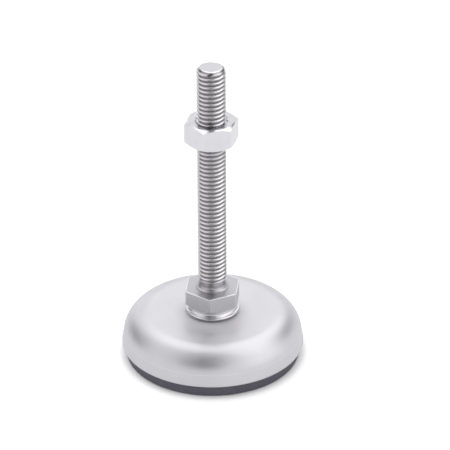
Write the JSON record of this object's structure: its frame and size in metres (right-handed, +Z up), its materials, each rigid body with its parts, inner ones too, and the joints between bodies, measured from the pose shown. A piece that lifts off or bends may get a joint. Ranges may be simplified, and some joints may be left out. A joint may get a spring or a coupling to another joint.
{
  "type": "furniture leveling foot",
  "caption": "Swivel leveling foot for furniture: pressed steel base on a rubber pad, ball-ended threaded stud with a spanner hexagon, and a lock nut.",
  "frame": {"origin": "on the floor under the rubber pad, on the axis of the base", "axes": "+Z up along the stud; the base and the stud are round about it"},
  "size_m": [0.05, 0.05, 0.0878],
  "materials": {
    "blasted_steel": "stainless sheet, finely blasted to a matt pale grey",
    "pad_rubber": "moulded dark grey rubber, matt",
    "plate_steel": "pressed sheet, dull zinc",
    "seat_plastic": "moulded natural acetal, smooth",
    "turned_steel": "stainless bar, turned skirt, milled hexagon, rolled thread",
    "bright_steel": "stainless nut, polished bright"
  },
  "bodies": {
    "base": {"base_shell": "blasted_steel", "support_plate": "plate_steel", "rubber_pad": "pad_rubber"},
    "seat": {"ball_seat": "seat_plastic"},
    "stud": {"threaded_stud": "turned_steel"},
    "nut": {"lock_nut": "bright_steel"}
  },
  "joints": [
    {"name": "seat_spin", "type": "hinge", "parent": "base", "child": "seat", "pos_m": [0, 0, 0.0094], "axis": [0, 0, 1], "continuous": true},
    {"name": "stud_tilt", "type": "hinge", "parent": "seat", "child": "stud", "pos_m": [0, 0, 0.0094], "axis": [1, 0, 0], "range_deg": [-5, 5]},
    {"name": "nut_travel", "type": "slide", "parent": "stud", "child": "nut", "axis": [0, 0, 1], "range_m": [-0.04125, 0.01375]}
  ]
}
